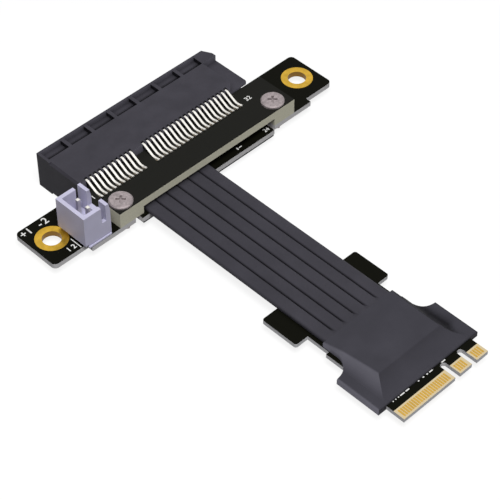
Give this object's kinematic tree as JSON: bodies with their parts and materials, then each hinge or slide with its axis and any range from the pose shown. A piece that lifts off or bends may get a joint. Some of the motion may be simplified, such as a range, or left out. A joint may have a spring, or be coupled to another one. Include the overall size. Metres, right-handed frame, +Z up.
{
  "type": "pcie extension cable",
  "caption": "Flat ribbon extension cable joining a keyed edge card to a card slot on a riser board, with a small power header and plated mounting holes.",
  "frame": {"origin": "midway between the two mounting holes, on the base board's underside", "axes": "+X along the slot towards its raised end, +Y out of the slot's mouth, -Y along the ribbon to the edge card, +Z up from the base board"},
  "size_m": [0.0666, 0.0816, 0.0096],
  "materials": {
    "board_mask": "black solder mask over glass-fibre board, pale cut edges",
    "gold_plate": "bright gold plate",
    "film": "satin black insulating film",
    "screw_metal": "satin nickel-plated steel",
    "housing_plastic": "satin moulded plastic",
    "contact_metal": "bright tin plate",
    "header_plastic": "smooth pale grey moulded plastic",
    "wire_metal": "tinned copper",
    "ribbon_sheath": "satin flexible sheath",
    "boot_plastic": "satin moulded boot"
  },
  "bodies": {
    "root": {"base_board": "board_mask", "riser_board": "board_mask", "card_board": "board_mask", "left_hole_plating": "gold_plate", "right_hole_plating": "gold_plate", "solder_film": "film", "riser_screws": "screw_metal", "riser_nuts": "screw_metal", "slot_housing": "housing_plastic", "upper_slot_contacts": "contact_metal", "lower_slot_contacts": "contact_metal", "power_header": "header_plastic", "header_posts": "contact_metal", "ribbon_wires": "wire_metal", "card_pads_top": "gold_plate", "card_pads_bottom": "gold_plate", "cable_boot": "boot_plastic", "ribbon_strip_1": "ribbon_sheath", "ribbon_strip_2": "ribbon_sheath", "ribbon_strip_3": "ribbon_sheath", "ribbon_strip_4": "ribbon_sheath", "ribbon_strip_5": "ribbon_sheath", "ribbon_strip_6": "ribbon_sheath"}
  },
  "joints": []
}
